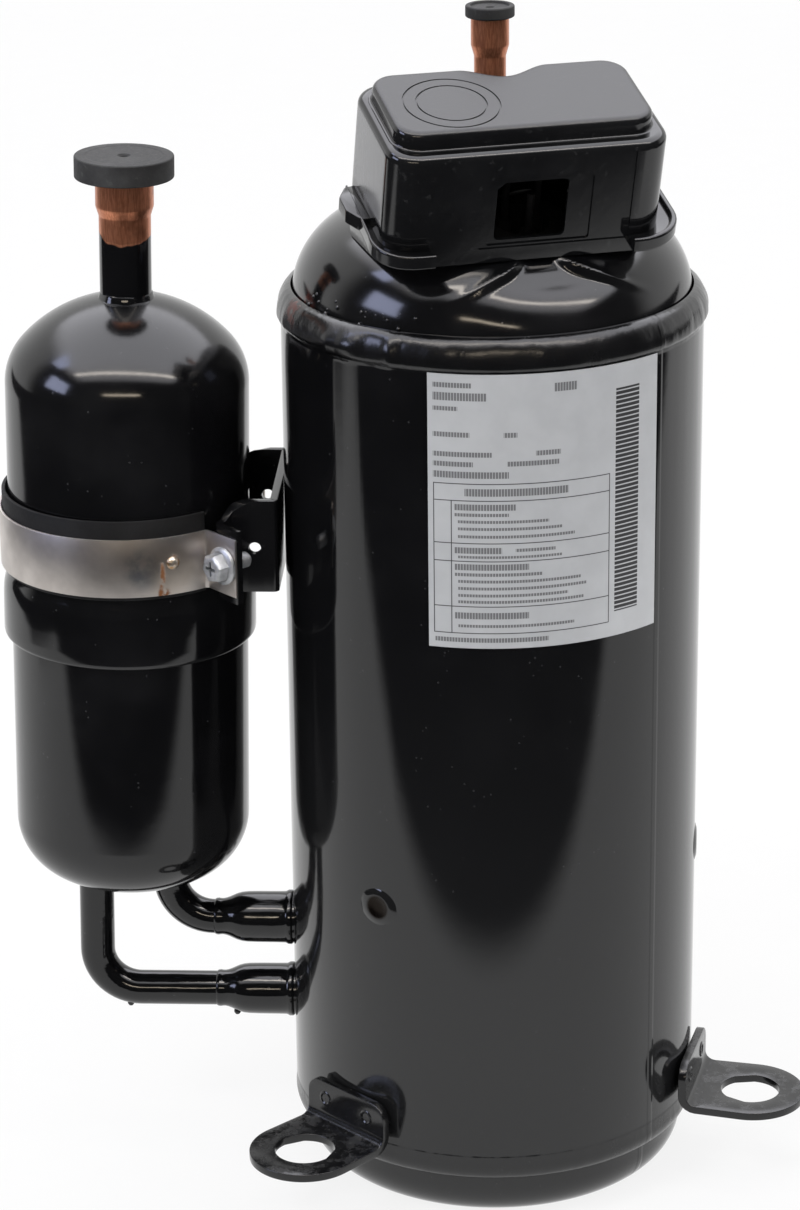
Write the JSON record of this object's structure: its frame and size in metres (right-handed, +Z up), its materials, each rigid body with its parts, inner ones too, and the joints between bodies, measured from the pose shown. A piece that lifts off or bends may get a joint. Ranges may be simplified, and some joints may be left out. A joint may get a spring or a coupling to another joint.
{
  "type": "refrigeration rotary compressor",
  "caption": "Upright hermetic refrigeration rotary compressor: black drum shell with a side accumulator, terminal cover, pipe stubs and mounting feet.",
  "frame": {"origin": "on the shell's axis, in the flat underside of the bottom cap", "axes": "+Z up along the shell's axis; +X from the accumulator to the shell; -Y is the front with the rating plate"},
  "size_m": [0.2542, 0.1788, 0.375],
  "materials": {
    "shell_enamel": "gloss black enamel",
    "bracket_enamel": "gloss black enamel",
    "foot_enamel": "satin black enamel, dusty",
    "pipe_enamel": "gloss black enamel, run in places",
    "copper_tube": "drawn copper, brushed and stained",
    "plug_rubber": "matt",
    "pad_rubber": "matt",
    "strap_steel": "brushed, stained with rust",
    "screw_zinc": "zinc plated",
    "cover_plastic": "satin moulded",
    "plate_silver": "printed silver film",
    "cast_iron": "machined",
    "ground_steel": "ground",
    "core_steel": "stacked laminations",
    "winding_copper": "enamelled wire",
    "pin_brass": "plain"
  },
  "bodies": {
    "housing": {"shell_body": "shell_enamel", "top_cap": "shell_enamel", "bottom_cap": "shell_enamel", "accumulator_upper_shell": "shell_enamel", "accumulator_lower_shell": "shell_enamel", "accumulator_bracket": "bracket_enamel", "foot_front_left": "foot_enamel", "foot_right": "foot_enamel", "foot_rear": "foot_enamel", "outlet_pipe_upper": "pipe_enamel", "outlet_pipe_lower": "pipe_enamel", "suction_port_upper": "pipe_enamel", "suction_port_lower": "pipe_enamel", "suction_inlet_pipe": "copper_tube", "discharge_pipe": "copper_tube", "winding_leads": "plug_rubber", "clamp_pad": "pad_rubber", "clamp_strap": "strap_steel", "rating_plate": "plate_silver", "main_bearing": "cast_iron", "sub_bearing": "cast_iron", "middle_plate": "cast_iron", "cylinder_upper": "cast_iron", "cylinder_lower": "cast_iron", "accumulator_screen": "ground_steel", "terminal_body": "ground_steel", "vane_spring_upper": "ground_steel", "vane_spring_lower": "ground_steel", "valve_retainer_upper": "ground_steel", "valve_retainer_lower": "ground_steel", "muffler_upper": "ground_steel", "muffler_lower": "ground_steel", "pump_bolt_1": "ground_steel", "pump_bolt_2": "ground_steel", "pump_bolt_3": "ground_steel", "pump_bolt_4": "ground_steel", "pump_bolt_5": "ground_steel", "stator_core": "core_steel", "stator_winding": "winding_copper", "terminal_pin_1": "pin_brass", "terminal_pin_2": "pin_brass", "terminal_pin_3": "pin_brass"},
    "rotor": {"crankshaft": "ground_steel", "rotor_core": "core_steel", "balance_weight_upper": "pin_brass", "balance_weight_lower": "pin_brass"},
    "upper_roller": {"roller_upper": "ground_steel"},
    "lower_roller": {"roller_lower": "ground_steel"},
    "upper_vane": {"vane_upper": "ground_steel"},
    "lower_vane": {"vane_lower": "ground_steel"},
    "upper_reed": {"discharge_reed_upper": "ground_steel"},
    "lower_reed": {"discharge_reed_lower": "ground_steel"},
    "cover": {"terminal_cover": "cover_plastic"},
    "inlet_plug": {"suction_plug": "plug_rubber"},
    "outlet_plug": {"discharge_plug": "plug_rubber"},
    "screw": {"clamp_screw": "screw_zinc"}
  },
  "joints": [
    {"name": "crank_spin", "type": "hinge", "parent": "housing", "child": "rotor", "pos_m": [0, 0, 0.0516], "axis": [0, 0, 1], "continuous": true},
    {"name": "upper_roller_spin", "type": "hinge", "parent": "rotor", "child": "upper_roller", "pos_m": [-0.0019, -0.00408, 0.0772], "axis": [0, 0, 1], "continuous": true},
    {"name": "lower_roller_spin", "type": "hinge", "parent": "rotor", "child": "lower_roller", "pos_m": [0.0019, 0.00408, 0.0516], "axis": [0, 0, 1], "continuous": true},
    {"name": "upper_vane_slide", "type": "slide", "parent": "housing", "child": "upper_vane", "axis": [0.9063, -0.4226, 0], "range_m": [0, 0.0049]},
    {"name": "lower_vane_slide", "type": "slide", "parent": "housing", "child": "lower_vane", "axis": [0.9063, -0.4226, 0], "range_m": [0, 0.0049]},
    {"name": "upper_reed_flex", "type": "hinge", "parent": "housing", "child": "upper_reed", "pos_m": [-0.02894, 0.00526, 0.09805], "axis": [-0.9063, -0.4226, 0], "range_deg": [0, 2.4], "stiffness_Nm_per_rad": 0.02},
    {"name": "lower_reed_flex", "type": "hinge", "parent": "housing", "child": "lower_reed", "pos_m": [-0.02894, 0.00526, 0.03075], "axis": [0.9063, 0.4226, 0], "range_deg": [0, 2.4], "stiffness_Nm_per_rad": 0.02},
    {"name": "terminal_cover_lift", "type": "slide", "parent": "housing", "child": "cover", "axis": [0.0901, -0.2693, 0.9588], "range_m": [0, 0.06]},
    {"name": "inlet_plug_lift", "type": "slide", "parent": "housing", "child": "inlet_plug", "axis": [0.0209, 0, 0.9998], "range_m": [0, 0.02]},
    {"name": "outlet_plug_lift", "type": "slide", "parent": "housing", "child": "outlet_plug", "axis": [0, 0, 1], "range_m": [0, 0.02]},
    {"name": "clamp_screw_out", "type": "slide", "parent": "housing", "child": "screw", "axis": [-0.7254, -0.6884, 0], "range_m": [0, 0.012]}
  ],
  "couplings": [
    {"joint": "upper_roller_spin", "follows": "crank_spin", "ratio": -1},
    {"joint": "lower_roller_spin", "follows": "crank_spin", "ratio": -1}
  ]
}
